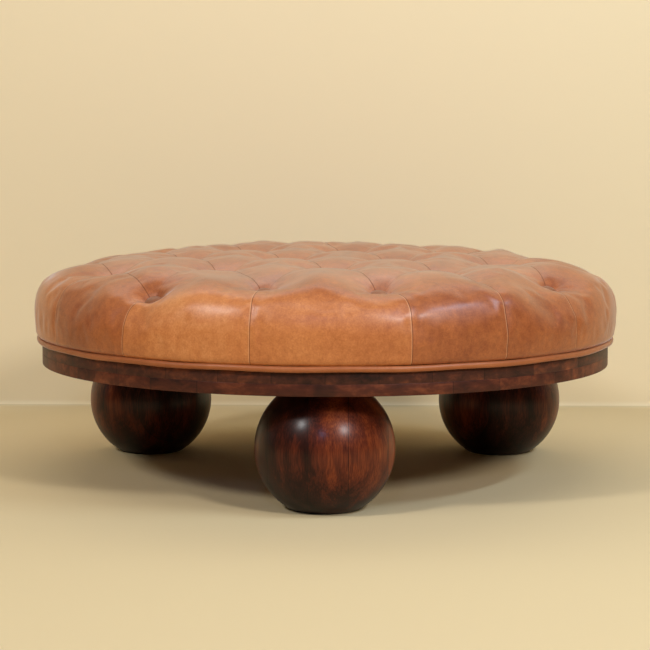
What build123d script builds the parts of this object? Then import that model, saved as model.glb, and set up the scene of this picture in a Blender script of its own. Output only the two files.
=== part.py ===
from build123d import *
import math
import os

os.makedirs("parts", exist_ok=True)

# Round coffee table with a tufted leather top on three wooden balls.
# Lengths are in millimetres and angles in degrees. The origin is on the floor under the middle
# of the base, +Z is up, and the front ball is towards -Y.

# Balls, turned with a flat to stand on and a flat under the base
ball_radius = 127.0
ball_height = 220.5
ball_edge_break = 1.5
feet_circle_radius = 424.3
foot_angles = {"front": 0.0, "rear_right": 120.0, "rear_left": 240.0}

# Hanger bolts and the threaded inserts that take them
bolt_radius = 5.0
bolt_bite = 62.0               # length in the ball
bolt_point_length = 8.0
bolt_point_radius = 1.5
bolt_fit = 0.1
insert_radius = 8.0
insert_length = 20.0
insert_flange_radius = 11.0
insert_flange_thickness = 1.6
insert_fit = 0.05

# Base of two crossed layers of edge-glued boards
base_radius = 560.5
base_layer_thickness = 21.3
base_edge_break = 1.6
lower_board_count = 24
upper_board_count = 12

# Welt: a leather strip folded round a cord, its tail laid under the deck
leather_thickness = 1.5
welt_radius = 5.75
welt_overhang = 10.5           # how far the welt stands out past the base
welt_tail_depth = 28.0         # how far the tail reaches in under the deck
cord_fit = 0.1

# Deck of plywood
deck_radius = 556.0
deck_thickness = 18.0
deck_fit = 0.2
hem_depth = 38.0               # how far the cover's hem reaches in under the deck

# Cushion outline, from the crease above the welt up over the shoulder to the crown
cushion_radius = 573.7
widest_height = 322.0
crease_gap = 0.6
roll_arc_radius = 5.0
draw_arc_radius = 180.0
draw_turn = 7.0
side_arc_radius = 120.0
side_turn = 25.0
shoulder_arc_radius = 52.0
shoulder_turn = 37.0
rim_arc_radius = 275.0

# Foam core, wadding and the clear space round soft pieces
foam_top_drop = 24.0           # crown of the cushion above the foam's flat top
foam_shoulder_radius = 58.0
foam_bore_radius = 15.0
pit_floor_radius = 28.0
pit_mouth_radius = 60.0
pit_height = 42.0
pit_drop = 6.0                 # floor of a pit below the cover's seat
soft_clearance = 0.3

# Tufting: rows of buttons on a staggered lattice, turned a little to the front right
tuft_rows_each_side = 2
tuft_pitch_across = 208.0
tuft_pitch_deep = 222.0
tuft_shift = 32.0
tuft_turn = -5.0
tuft_reach = 530.0             # lattice places further out than this have no button
stagger_shares = (0.5, 0.0)    # sideways step of even and odd rows, as shares of the pitch
tuft_depth = 38.0
tuft_seat_radius = 20.0
pillow_radius = 62.0
cutter_rise = 1.5              # top of each cutter's curve above the crown
cutter_overrun = 30.0
pleat_depth = 16.0
pleat_half_width = 80.0
pleat_overlap = 8.0
seam_depth = 0.8
seam_width = 3.0

# Pleats that run out over the edge: row and column of the button, then the angle where the seam
# comes down the side, counted from the front towards the right
edge_pleats = (
    (-2, -2, -39.0), (-2, -1, -13.2), (-2, 0, 15.2), (-1, 1, 34.1), (-1, 2, 53.3), (0, 1, 80.0),
    (1, 2, 112.0), (1, 1, 137.0), (2, 0, 158.0), (2, -1, 184.0), (2, -2, 207.0), (1, -2, 235.0),
    (0, -3, 275.0), (-1, -2, 299.0),
)

# Buttons, their twines and the washers that the twines are knotted against
button_radius = 15.0
button_height = 9.0
button_rim_height = 2.5
cap_thickness = 1.2
cap_fit = 0.1
shank_radius = 3.0
shank_drop = 5.0               # end of the shank below the cover
shank_fit = 0.3
twine_radius = 1.4
twine_hole_radius = 3.0
knot_radius = 3.4
knot_gap = 0.4
washer_radius = 8.0
washer_thickness = 1.2

# Screws up through the base into the deck
screw_radius = 2.5
screw_head_radius = 5.0
screw_head_height = 3.2
screw_bite = 14.0
screw_fit = 0.05
screw_hole_radius = 2.8
screw_washer_radius = 8.0
screw_washer_thickness = 1.6
counterbore_radius = 9.5
counterbore_depth = 8.0
screw_circle_radii = (390.0, 190.0)
screws_per_circle = 6
screw_first_angle = 30.0

# Staples through the welt's tail and the hem into the deck
staple_count = 32
staple_circle_radius = 543.0
staple_crown = 12.0
staple_wire_width = 1.2
staple_wire_thickness = 0.7
staple_leg = 12.0
staple_fit = 0.1

# Heights that follow from the sizes above
full_turn = 360.0
quarter_turn = 90.0
base_bottom = ball_height
base_middle = base_bottom + base_layer_thickness
base_top = base_middle + base_layer_thickness
welt_centre_radius = base_radius + welt_overhang - welt_radius
welt_tail_top = base_top + 2 * leather_thickness
hem_bottom = welt_tail_top
deck_bottom = hem_bottom + leather_thickness
deck_top = deck_bottom + deck_thickness
crease_height = base_top + 2 * welt_radius + crease_gap
neck_radius = deck_radius + deck_fit + leather_thickness
hem_inner_radius = neck_radius - hem_depth


def around(radius, angle):
    """Place on a circle, with the angle counted from the front towards the right."""
    turn = math.radians(angle)
    return radius * math.sin(turn), -radius * math.cos(turn)


def sine(angle):
    return math.sin(math.radians(angle))


def cosine(angle):
    return math.cos(math.radians(angle))


# Ends of the arcs of the cushion outline, each counted by how far it leans from upright
side_end = side_turn
shoulder_end = side_end + shoulder_turn
rim_turn = quarter_turn - shoulder_end
rim_start_radius = (
    cushion_radius
    - side_arc_radius * (cosine(0) - cosine(side_end))
    - shoulder_arc_radius * (cosine(side_end) - cosine(shoulder_end))
)
rim_start_height = (
    widest_height
    + side_arc_radius * sine(side_end)
    + shoulder_arc_radius * (sine(shoulder_end) - sine(side_end))
)
rim_centre_radius = rim_start_radius - rim_arc_radius * cosine(shoulder_end)
rim_centre_height = rim_start_height - rim_arc_radius * sine(shoulder_end)
crown_height = rim_centre_height + rim_arc_radius
draw_start_height = (
    crease_height
    + draw_arc_radius * sine(draw_turn)
    + roll_arc_radius * (sine(quarter_turn) - sine(draw_turn))
)
foam_top = crown_height - foam_top_drop


def crown_plane(x, y):
    """Plane that lies on the untufted crown above a place and faces outwards."""
    beyond = math.hypot(x, y) - rim_centre_radius
    if beyond <= 0:
        return Plane(origin=(x, y, crown_height))
    lean = math.asin(beyond / rim_arc_radius)
    normal = Vector(x, y, 0).normalized() * math.sin(lean) + Vector(0, 0, 1) * math.cos(lean)
    return Plane(origin=(x, y, rim_centre_height + rim_arc_radius * math.cos(lean)), z_dir=normal)


# Places of the buttons, by row and column
button_places = {}
for row in range(-tuft_rows_each_side, tuft_rows_each_side + 1):
    for column in range(-tuft_rows_each_side - 1, tuft_rows_each_side + 1):
        across = tuft_shift + tuft_pitch_across * (column + stagger_shares[row % 2])
        deep = tuft_pitch_deep * row
        if math.hypot(across, deep) <= tuft_reach:
            place = Vector(across, deep, 0).rotate(Axis.Z, tuft_turn)
            button_places[(row, column)] = (place.X, place.Y)

# Each button sits on the crown's own slope, below the crown by the tuft's depth
tuft_planes = {key: crown_plane(*place) for key, place in button_places.items()}
seat_planes = {key: plane.offset(-tuft_depth) for key, plane in tuft_planes.items()}
shank_end = (0, 0, -leather_thickness - shank_drop)
twine_tops = [plane.from_local_coords(shank_end) for plane in seat_planes.values()]
twine_places = [(top.X, top.Y) for top in twine_tops]


# Pleats run from button to button in two slanting directions, each in one straight line
pleat_height = crown_height - pleat_depth
pleat_lines = ([], [])
for lean, lines in enumerate(pleat_lines):
    for row, column in button_places:
        if (row - 1, column + 1 - lean - row % 2) in button_places:
            continue
        last = (row, column)
        while (last[0] + 1, last[1] + lean - last[0] % 2) in button_places:
            last = (last[0] + 1, last[1] + lean - last[0] % 2)
        if last != (row, column):
            ends = [Vector(*button_places[key], pleat_height) for key in ((row, column), last)]
            lines.append(ends)


def tuft_cutter(inset):
    """Funnel round a button: the pillows roll down into it in one arc, to a flat seat."""
    centre_height = cutter_rise - pillow_radius
    seat_rise = -tuft_depth - centre_height
    centre_radius = tuft_seat_radius + math.sqrt(pillow_radius**2 - seat_rise**2)
    arc_radius = pillow_radius - inset
    roll = math.degrees(math.acos((seat_rise - inset) / arc_radius))
    with BuildPart() as cutter:
        with BuildSketch(Plane.XZ):
            with BuildLine():
                pillow = CenterArc((centre_radius, centre_height), arc_radius, quarter_turn, roll)
                Polyline(
                    pillow @ 1,
                    (0, -tuft_depth - inset),
                    (0, cutter_overrun),
                    (centre_radius, cutter_overrun),
                    pillow @ 0,
                )
            make_face()
        revolve(axis=Axis.Z)
    return cutter.part


def pleat_cutter(start, end, inset):
    """Valley along a pleat: two pillows roll down to a sharp crease."""
    drop = pleat_depth + cutter_rise
    arc_radius = (pleat_half_width**2 + drop**2) / (2 * drop)
    roll = math.degrees(math.asin(pleat_half_width / (arc_radius - inset)))
    along = (end - start).normalized()
    section = Plane(origin=start - along * pleat_overlap, x_dir=Vector(0, 0, 1).cross(along), z_dir=along)
    with BuildPart() as cutter:
        with BuildSketch(section):
            with BuildLine():
                pillow = CenterArc(
                    (pleat_half_width, drop - arc_radius), arc_radius - inset, quarter_turn, roll
                )
                Polyline(
                    pillow @ 0,
                    (pleat_half_width, drop + cutter_overrun),
                    (0, drop + cutter_overrun),
                )
                mirror(about=Plane.YZ)
            make_face()
        extrude(amount=(end - start).length + 2 * pleat_overlap)
    return cutter.part


def tufted_form(inset):
    """Whole cushion down to the hem, moved inwards by inset, with its tufts and pleats."""
    side_radius = cushion_radius - inset
    with BuildPart() as form:
        with BuildSketch(Plane.XZ):
            with BuildLine():
                side = JernArc((side_radius, widest_height), (0, 1), side_arc_radius - inset, side_turn)
                shoulder = JernArc(side @ 1, side % 1, shoulder_arc_radius - inset, shoulder_turn)
                rim = JernArc(shoulder @ 1, shoulder % 1, rim_arc_radius - inset, rim_turn)
                draw = JernArc((side_radius, draw_start_height), (0, -1), draw_arc_radius - inset, -draw_turn)
                roll = JernArc(draw @ 1, draw % 1, roll_arc_radius - inset, draw_turn - quarter_turn)
                Line(side @ 0, draw @ 0)
                Polyline(
                    roll @ 1,
                    (neck_radius - inset, crease_height + inset),
                    (neck_radius - inset, hem_bottom + inset),
                    (0, hem_bottom + inset),
                    (0, crown_height - inset),
                    rim @ 1,
                )
            make_face()
        revolve(axis=Axis.Z)
        for lines in pleat_lines:
            add([pleat_cutter(start, end, inset) for start, end in lines], mode=Mode.SUBTRACT)
        funnel = tuft_cutter(inset)
        add([funnel.moved(plane.location) for plane in tuft_planes.values()], mode=Mode.SUBTRACT)
    return form.part


def staple_cutter(bottom, depth):
    """Slots for the staples, from a height upwards."""
    with BuildPart() as cutter:
        for number in range(staple_count):
            angle = full_turn * number / staple_count
            with BuildSketch(Plane.XY.offset(bottom)):
                with Locations(Location((*around(staple_circle_radius, angle), 0), angle)):
                    Rectangle(staple_crown + staple_fit, staple_wire_width + staple_fit)
            extrude(amount=depth)
    return cutter.part


def save(part, name):
    part.label = name
    export_step(part, f"parts/{name}.step")


# Ball feet: one turned form, bored from above for its bolt
ball_lean = math.degrees(math.asin(ball_height / 2 / ball_radius))
with BuildPart() as ball:
    with BuildSketch(Plane.XZ):
        with BuildLine():
            cheek = CenterArc((0, ball_height / 2), ball_radius, -ball_lean, 2 * ball_lean)
            Polyline(cheek @ 0, (0, 0), (0, ball_height), cheek @ 1)
        make_face()
    revolve(axis=Axis.Z)
    flats = ball.faces().filter_by(GeomType.PLANE)
    fillet(flats.edges(), ball_edge_break)
    with Locations(Plane.XY.offset(ball_height)):
        Hole(bolt_radius + bolt_fit, bolt_bite + bolt_fit)
feet = {name: Location((*around(feet_circle_radius, angle), 0)) for name, angle in foot_angles.items()}
for name, location in feet.items():
    save(ball.part.moved(location), f"ball_foot_{name}")

# Hanger bolts, wood thread down in the ball and machine thread up in the insert
bolt_top = base_bottom + insert_length
with BuildPart() as hanger_bolt:
    with BuildSketch(Plane.XZ):
        Polygon(
            (0, bolt_top),
            (bolt_radius, bolt_top),
            (bolt_radius, base_bottom - bolt_bite + bolt_point_length),
            (bolt_point_radius, base_bottom - bolt_bite),
            (0, base_bottom - bolt_bite),
            align=None,
        )
    revolve(axis=Axis.Z)
save(Compound([hanger_bolt.part.moved(location) for location in feet.values()]), "foot_hanger_bolts")

# Threaded inserts, let into the lower layer from below, flange flush with its face
with BuildPart() as insert:
    with BuildSketch(Plane.XY.offset(base_bottom)):
        Circle(insert_flange_radius)
    extrude(amount=insert_flange_thickness)
    with BuildSketch(Plane.XY.offset(base_bottom + insert_flange_thickness)):
        Circle(insert_radius)
    extrude(amount=insert_length - insert_flange_thickness)
    with BuildSketch(Plane.XY.offset(base_bottom)):
        Circle(bolt_radius + bolt_fit)
    extrude(amount=insert_length, mode=Mode.SUBTRACT)
save(Compound([insert.part.moved(location) for location in feet.values()]), "foot_threaded_inserts")

# Places of the screws, in two rings that miss the balls
screw_places = [
    around(radius, screw_first_angle + full_turn * number / screws_per_circle)
    for radius in screw_circle_radii
    for number in range(screws_per_circle)
]


def base_layer(bottom, outer_edges):
    """One whole layer of the base with its screw holes and its outer edge broken."""
    with BuildPart() as layer:
        with BuildSketch(Plane.XY.offset(bottom)):
            Circle(base_radius)
        extrude(amount=base_layer_thickness)
        chamfer(layer.edges().sort_by(Axis.Z)[outer_edges], base_edge_break)
        with BuildSketch(Plane.XY.offset(bottom)):
            with Locations(*screw_places):
                Circle(screw_hole_radius)
        extrude(amount=base_layer_thickness, mode=Mode.SUBTRACT)
    return layer.part


def boards(layer, bottom, count, turn):
    """The boards that a layer is glued up from, each a slice across it."""
    width = 2 * base_radius / count
    slices = []
    for number in range(count):
        offset = width * number + width / 2 - base_radius
        with BuildPart() as board:
            add(layer)
            with BuildSketch(Plane(origin=(0, 0, bottom)).rotated((0, 0, turn))):
                with Locations((0, offset)):
                    Rectangle(2 * base_radius, width)
            extrude(amount=base_layer_thickness, mode=Mode.INTERSECT)
        slices.append(board.part)
    return Compound(slices)


# Lower layer, boards from left to right, with seats for inserts and counterbores for screws
with BuildPart() as lower_layer:
    add(base_layer(base_bottom, slice(0, 1)))
    with BuildSketch(Plane.XY.offset(base_bottom)):
        with Locations(*screw_places):
            Circle(counterbore_radius)
    extrude(amount=counterbore_depth, mode=Mode.SUBTRACT)
    with BuildSketch(Plane.XY.offset(base_bottom)):
        with Locations(*[around(feet_circle_radius, angle) for angle in foot_angles.values()]):
            Circle(insert_radius + insert_fit)
    extrude(amount=insert_length + insert_fit, mode=Mode.SUBTRACT)
    with BuildSketch(Plane.XY.offset(base_bottom)):
        with Locations(*[around(feet_circle_radius, angle) for angle in foot_angles.values()]):
            Circle(insert_flange_radius + insert_fit)
    extrude(amount=insert_flange_thickness, mode=Mode.SUBTRACT)
save(boards(lower_layer.part, base_bottom, lower_board_count, 0), "base_lower_layer")

# Upper layer, boards from front to back
upper_layer = base_layer(base_middle, slice(-1, None))
save(boards(upper_layer, base_middle, upper_board_count, quarter_turn), "base_upper_layer")

# Deck: plywood, drilled through for the twines and from below for screws and staples
with BuildPart() as deck_board:
    with BuildSketch(Plane.XY.offset(deck_bottom)):
        Circle(deck_radius)
        with Locations(*twine_places):
            Circle(twine_hole_radius, mode=Mode.SUBTRACT)
    extrude(amount=deck_thickness)
    with BuildSketch(Plane.XY.offset(deck_bottom)):
        with Locations(*screw_places):
            Circle(screw_radius + screw_fit)
    extrude(amount=screw_bite + screw_fit, mode=Mode.SUBTRACT)
    add(staple_cutter(deck_bottom, base_top + staple_leg + staple_fit - deck_bottom), mode=Mode.SUBTRACT)
save(deck_board.part, "deck_board")

# Screws with pan heads, and the washers under them
washer_top = base_bottom + counterbore_depth
screw_seat = washer_top - screw_washer_thickness
with BuildPart() as screw:
    with BuildSketch(Plane.XY.offset(screw_seat - screw_head_height)):
        Circle(screw_head_radius)
    extrude(amount=screw_head_height)
    with BuildSketch(Plane.XY.offset(screw_seat)):
        Circle(screw_radius)
    extrude(amount=deck_bottom + screw_bite - screw_seat)
with BuildPart() as screw_washer:
    with BuildSketch(Plane.XY.offset(screw_seat)):
        Circle(screw_washer_radius)
        Circle(screw_hole_radius, mode=Mode.SUBTRACT)
    extrude(amount=screw_washer_thickness)
screw_locations = [Location((x, y, 0)) for x, y in screw_places]
save(Compound([screw.part.moved(location) for location in screw_locations]), "deck_screws")
save(Compound([screw_washer.part.moved(location) for location in screw_locations]), "deck_screw_washers")

# Welt cover and its tail, and the cord inside
cord_radius = welt_radius - leather_thickness
tail_inner_radius = neck_radius - welt_tail_depth
with BuildPart() as welt_cover:
    with BuildSketch(Plane.XZ):
        with Locations((welt_centre_radius, base_top + welt_radius)):
            Circle(welt_radius)
        with BuildLine():
            Polyline(
                (tail_inner_radius, base_top),
                (welt_centre_radius, base_top),
                (welt_centre_radius, welt_tail_top),
                (tail_inner_radius, welt_tail_top),
                close=True,
            )
        make_face()
        with Locations((welt_centre_radius, base_top + welt_radius)):
            Circle(cord_radius, mode=Mode.SUBTRACT)
    revolve(axis=Axis.Z)
    add(staple_cutter(base_top, 2 * leather_thickness), mode=Mode.SUBTRACT)
save(welt_cover.part, "welt_cover")
with BuildPart() as welt_cord:
    with BuildSketch(Plane.XZ):
        with Locations((welt_centre_radius, base_top + welt_radius)):
            Circle(cord_radius - cord_fit)
    revolve(axis=Axis.Z)
save(welt_cord.part, "welt_cord")

# Staples: a crown under the welt's tail, and two legs up into the deck
with BuildPart() as staple:
    with BuildSketch(Plane.XZ):
        with Locations((0, base_top)):
            Rectangle(staple_crown, staple_leg, align=(Align.CENTER, Align.MIN))
        with Locations((0, base_top + staple_wire_thickness)):
            Rectangle(
                staple_crown - 2 * staple_wire_thickness,
                staple_leg,
                align=(Align.CENTER, Align.MIN),
                mode=Mode.SUBTRACT,
            )
    extrude(amount=staple_wire_width / 2, both=True)
staples = []
for number in range(staple_count):
    angle = full_turn * number / staple_count
    staples.append(staple.part.moved(Location((*around(staple_circle_radius, angle), 0), angle)))
save(Compound(staples), "cover_staples")

# Foam core, bored for the twines and pitted under each button
foam_shoulder_height = foam_top - foam_shoulder_radius
with BuildPart() as pit:
    with BuildSketch(Plane.XZ):
        Polygon(
            (0, -pit_drop),
            (pit_floor_radius, -pit_drop),
            (pit_mouth_radius, pit_height - pit_drop),
            (pit_mouth_radius, pit_height + cutter_overrun),
            (0, pit_height + cutter_overrun),
            align=None,
        )
    revolve(axis=Axis.Z)
with BuildPart() as foam_core:
    with BuildSketch(Plane.XZ):
        with BuildLine():
            foam_side = (deck_radius, foam_shoulder_height)
            foam_edge = JernArc(foam_side, (0, 1), foam_shoulder_radius, quarter_turn)
            Polyline(foam_edge @ 1, (0, foam_top), (0, deck_top), (deck_radius, deck_top), foam_side)
        make_face()
    revolve(axis=Axis.Z)
    with BuildSketch(Plane.XY.offset(deck_top)):
        with Locations(*twine_places):
            Circle(foam_bore_radius)
    extrude(amount=foam_top - deck_top, mode=Mode.SUBTRACT)
    add([pit.part.moved(plane.location) for plane in seat_planes.values()], mode=Mode.SUBTRACT)
save(foam_core.part, "foam_core")

# Wadding: fills the pillows over the foam and wraps down past the deck's edge
with BuildPart() as wadding:
    add(tufted_form(leather_thickness + soft_clearance))
    with BuildSketch(Plane.XZ):
        with BuildLine():
            Polyline(
                (0, foam_top + soft_clearance),
                (0, hem_bottom),
                (deck_radius + soft_clearance, hem_bottom),
                (deck_radius + soft_clearance, foam_shoulder_height),
            )
            foam_edge = JernArc(
                (deck_radius + soft_clearance, foam_shoulder_height),
                (0, 1),
                foam_shoulder_radius + soft_clearance,
                quarter_turn,
            )
            Line(foam_edge @ 1, (0, foam_top + soft_clearance))
        make_face()
    revolve(axis=Axis.Z, mode=Mode.SUBTRACT)
save(wadding.part, "wadding")

# Leather cover: a skin over the wadding, tucked in above the welt and hemmed under the deck
seam_radius = cushion_radius - seam_depth
seam_arc_radius = side_arc_radius - seam_depth
seam_draw_radius = draw_arc_radius - seam_depth
with BuildPart() as leather_cover:
    add(tufted_form(0))
    add(tufted_form(leather_thickness), mode=Mode.SUBTRACT)
    with BuildSketch(Plane.XY.offset(hem_bottom)):
        Circle(hem_inner_radius)
    extrude(amount=leather_thickness, mode=Mode.SUBTRACT)
    with BuildPart(mode=Mode.PRIVATE) as shank_hole:
        with BuildSketch(Plane.XY.offset(-leather_thickness)):
            Circle(shank_radius + shank_fit)
        extrude(amount=leather_thickness)
    add([shank_hole.part.moved(plane.location) for plane in seat_planes.values()], mode=Mode.SUBTRACT)
    add(staple_cutter(hem_bottom, leather_thickness), mode=Mode.SUBTRACT)
    for row, column, angle in edge_pleats:
        seam_plane = Plane(
            origin=(0, 0, 0), x_dir=(*around(1, angle), 0), z_dir=(-cosine(angle), -sine(angle), 0)
        )
        with BuildSketch(seam_plane):
            with BuildLine():
                high = JernArc((seam_radius, widest_height), (0, 1), seam_arc_radius, side_turn)
                top = JernArc(high @ 1, high % 1, shoulder_arc_radius - seam_depth, shoulder_turn)
                low = JernArc((seam_radius, draw_start_height), (0, -1), seam_draw_radius, -draw_turn)
                Line(high @ 0, low @ 0)
                Polyline(
                    top @ 1,
                    (cushion_radius + cutter_rise, (top @ 1).Y),
                    (cushion_radius + cutter_rise, (low @ 1).Y),
                    low @ 1,
                )
            make_face()
        extrude(amount=seam_width / 2, both=True, mode=Mode.SUBTRACT)
save(leather_cover.part, "leather_cover")

# Buttons: a leather cap over a moulded core with a shank through the cover
dome_rise = button_height - button_rim_height
dome_radius = (button_radius**2 + dome_rise**2) / (2 * dome_rise)


def button_form(inset):
    """Solid button form on its seat, moved inwards by inset at the top and round the rim."""
    rim_radius = button_radius - inset
    inner_radius = dome_radius - inset
    rim_height = button_height - dome_radius + math.sqrt(inner_radius**2 - rim_radius**2)
    with BuildPart() as form:
        with BuildSketch(Plane.XZ):
            with BuildLine():
                Polyline((0, button_height - inset), (0, 0), (rim_radius, 0), (rim_radius, rim_height))
                RadiusArc((rim_radius, rim_height), (0, button_height - inset), -inner_radius)
            make_face()
        revolve(axis=Axis.Z)
    return form.part


with BuildPart() as button_cap:
    add(button_form(0))
    add(button_form(cap_thickness), mode=Mode.SUBTRACT)
with BuildPart() as button_core:
    add(button_form(cap_thickness + cap_fit))
    with BuildSketch(Plane.XY):
        Circle(shank_radius)
    extrude(amount=-leather_thickness - shank_drop)
save(Compound([button_cap.part.moved(plane.location) for plane in seat_planes.values()]), "button_caps")
save(Compound([button_core.part.moved(plane.location) for plane in seat_planes.values()]), "button_cores")

# Twines: from each shank down through foam and deck to a knot under its washer
washer_bottom = deck_bottom - washer_thickness
knot_height = washer_bottom - base_top - knot_gap
twines = []
for top in twine_tops:
    with BuildPart() as twine:
        with BuildSketch(Plane.XY.offset(washer_bottom)):
            Circle(twine_radius)
        extrude(amount=top.Z - twine_radius - shank_fit - washer_bottom)
        with BuildSketch(Plane.XY.offset(washer_bottom - knot_height)):
            Circle(knot_radius)
        extrude(amount=knot_height)
    twines.append(twine.part.moved(Location((top.X, top.Y, 0))))
save(Compound(twines), "tufting_twines")
with BuildPart() as twine_washer:
    with BuildSketch(Plane.XY.offset(washer_bottom)):
        Circle(washer_radius)
        Circle(twine_radius + shank_fit, mode=Mode.SUBTRACT)
    extrude(amount=washer_thickness)
save(Compound([twine_washer.part.moved(Location((x, y, 0))) for x, y in twine_places]), "twine_washers")

print("crown height", round(crown_height, 2), "buttons", len(button_places))
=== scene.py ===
import math

import bmesh
import bpy
import numpy as np
from mathutils import Matrix, Vector


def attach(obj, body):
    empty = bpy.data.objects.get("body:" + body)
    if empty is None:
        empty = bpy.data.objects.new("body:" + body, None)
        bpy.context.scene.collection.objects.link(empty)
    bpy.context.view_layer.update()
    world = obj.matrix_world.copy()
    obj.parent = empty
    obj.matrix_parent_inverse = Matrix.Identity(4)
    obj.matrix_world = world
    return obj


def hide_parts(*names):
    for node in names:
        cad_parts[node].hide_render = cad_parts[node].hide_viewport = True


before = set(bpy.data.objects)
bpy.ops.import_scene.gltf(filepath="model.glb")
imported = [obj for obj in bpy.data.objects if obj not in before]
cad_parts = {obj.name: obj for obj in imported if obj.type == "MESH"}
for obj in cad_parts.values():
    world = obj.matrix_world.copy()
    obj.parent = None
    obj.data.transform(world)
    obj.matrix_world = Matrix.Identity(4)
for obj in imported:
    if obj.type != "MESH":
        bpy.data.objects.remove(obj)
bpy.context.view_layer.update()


# The three ball feet are turned from blocks of edge-glued hardwood, with a flat to stand on and a
# flat against the base. They are stained nearly black, so that the glued planks still show as
# upright bands of brown and red, and finished in satin lacquer.
class Number:
    """A number that varies over a surface: an expression on it adds Math nodes to its finish."""

    def __init__(self, finish, socket):
        self.finish = finish
        self.socket = socket

    def maths(self, operation, *values):
        return self.finish.node("ShaderNodeMath", {"operation": operation}, values)

    def __add__(self, other):
        return self.maths("ADD", self, other)

    def __radd__(self, other):
        return self.maths("ADD", other, self)

    def __sub__(self, other):
        return self.maths("SUBTRACT", self, other)

    def __rsub__(self, other):
        return self.maths("SUBTRACT", other, self)

    def __mul__(self, other):
        return self.maths("MULTIPLY", self, other)

    def __rmul__(self, other):
        return self.maths("MULTIPLY", other, self)

    def __truediv__(self, other):
        return self.maths("DIVIDE", self, other)

    def __abs__(self):
        return self.maths("ABSOLUTE", self)

    def whole(self):
        return self.maths("FLOOR", self)

    def fraction(self):
        return self.maths("FRACT", self)


class Finish:
    """A material: what is the same all over is set on the shader, and the rest comes by nodes."""

    def __init__(self, name, constants):
        self.material = bpy.data.materials.new(name)
        self.material.use_nodes = True
        self.tree = self.material.node_tree
        self.shader = self.tree.nodes["Principled BSDF"]
        for key, value in constants.items():
            self.shader.inputs[key].default_value = value

    def node(self, kind, settings, inputs, output=0):
        """Adds a node with its settings and the values or links of its sockets; gives an output."""
        made = self.tree.nodes.new(kind)
        for name, value in settings.items():
            if name == "stops":
                for place, colour in value[1:-1]:
                    made.color_ramp.elements.new(place)
                for stop, (place, colour) in zip(made.color_ramp.elements, value):
                    stop.position = place
                    stop.color = (*colour, 1)
            else:
                setattr(made, name, value)
        for key, value in inputs.items() if isinstance(inputs, dict) else enumerate(inputs):
            if isinstance(value, Number):
                self.tree.links.new(value.socket, made.inputs[key])
            else:
                made.inputs[key].default_value = value
        return Number(self, made.outputs[output])

    def place(self, stretch=(1, 1, 1), centre=(0, 0, 0), turn=0.0):
        """Object coordinates, moved to a centre, turned about Z and stretched."""
        raw = self.node("ShaderNodeTexCoord", {}, {}, "Object")
        moved = self.node(
            "ShaderNodeMapping",
            {"vector_type": "TEXTURE"},
            {"Vector": raw, "Location": centre, "Rotation": (0, 0, turn)},
        )
        return self.node("ShaderNodeVectorMath", {"operation": "MULTIPLY"}, (moved, stretch))

    def part(self, vector, axis):
        return self.node("ShaderNodeSeparateXYZ", {}, {"Vector": vector}, axis)

    def noise(self, vector, detail, roughness=0.5, distortion=0.0):
        """Clouded noise whose grain comes from how far its place is stretched."""
        values = {"Scale": 1.0, "Detail": detail, "Roughness": roughness, "Distortion": distortion}
        return self.node("ShaderNodeTexNoise", {}, {"Vector": vector, **values}, "Fac")

    def chance(self, number):
        """A random number for each whole number."""
        return self.node("ShaderNodeTexWhiteNoise", {"noise_dimensions": "1D"}, {"W": number}, "Value")

    def rise(self, value, low, high):
        """Goes smoothly from nought to one as the value goes from low to high."""
        settings = {"interpolation_type": "SMOOTHSTEP"}
        values = {"Value": value, "From Min": low, "From Max": high}
        return self.node("ShaderNodeMapRange", settings, values)

    def ramp(self, value, stops):
        return self.node("ShaderNodeValToRGB", {"stops": stops}, {"Fac": value})

    def mix(self, share, low, high):
        """Mixes two colours: sockets 6 and 7 of the node are its colours, and output 2 is the mix."""
        return self.node("ShaderNodeMix", {"data_type": "RGBA"}, {0: share, 6: low, 7: high}, 2)

    def feed(self, **links):
        """Links varying values to the shader: colour, roughness, coat, and relief in metres."""
        names = {"colour": "Base Color", "roughness": "Roughness", "coat": "Coat Weight"}
        for name, value in links.items():
            if name == "relief":
                bump = {"Height": value, "Distance": 1.0, "Strength": 1.0}
                value = self.node("ShaderNodeBump", {}, bump)
                name = "Normal"
            self.tree.links.new(value.socket, self.shader.inputs[names.get(name, name)])


def hand_over(name, bm, finish, slot, *nodes):
    """Makes a finished mesh an object that stands for its CAD nodes and rides on the table."""
    bmesh.ops.recalc_face_normals(bm, faces=bm.faces)
    for face in bm.faces:
        face.smooth = True
    mesh = bpy.data.meshes.new(name)
    bm.to_mesh(mesh)
    bm.free()
    piece = bpy.data.objects.new(name, mesh)
    bpy.context.scene.collection.objects.link(piece)
    mesh.materials.append(finish.material)
    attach(piece, "root")
    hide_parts(*nodes)
    return piece


ball_radius = 0.127
ball_height = 0.2205
ball_edge_break = 0.0015
ball_turns = 128
ball_profile_steps = 64
flat_edge_angle = 0.4          # the edges of the flats turn by more than this
merge_distance = 0.00001
feet_circle = 0.4243
plank_width = 0.071
plank_shift = 0.42             # share of a plank from the ball's middle to the first joint
glue_line_colour = (0.008, 0.004, 0.003, 1)
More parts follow.
